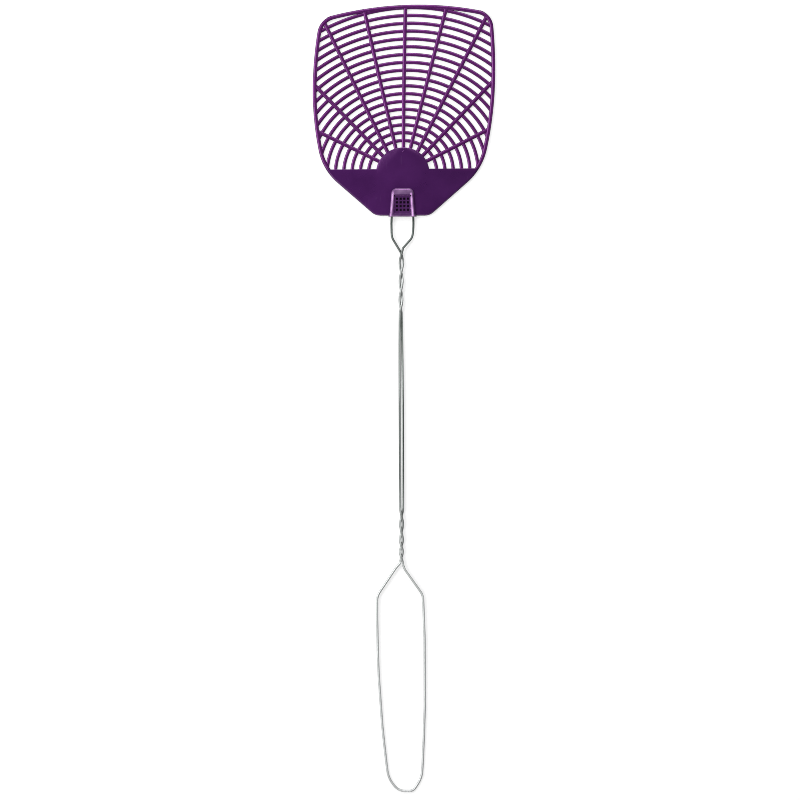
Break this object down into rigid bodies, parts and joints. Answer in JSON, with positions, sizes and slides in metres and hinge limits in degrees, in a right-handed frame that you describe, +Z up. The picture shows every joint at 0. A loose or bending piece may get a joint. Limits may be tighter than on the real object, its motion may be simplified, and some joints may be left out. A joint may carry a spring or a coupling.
{
  "type": "fly swatter",
  "caption": "Fly swatter with a flexible ribbed plastic blade on a handle of one twisted steel wire that ends in a long hand loop.",
  "frame": {"origin": "middle of the underside of the box around the whole swatter, on the table that it lies on", "axes": "+Y from the hand loop to the blade's far edge, +Z up out of the blade's ribbed face, +X to the right"},
  "size_m": [0.1096, 0.4722, 0.0036],
  "materials": {
    "purple_plastic": "satin moulded polyethylene, purple right through",
    "galvanised_wire": "bright galvanised drawn wire"
  },
  "bodies": {
    "handle": {"wire_handle": "galvanised_wire"},
    "blade": {"blade": "purple_plastic"}
  },
  "joints": [
    {"name": "blade_pull_off", "type": "slide", "parent": "handle", "child": "blade", "axis": [0, 1, 0], "range_m": [0, 0.012]}
  ]
}
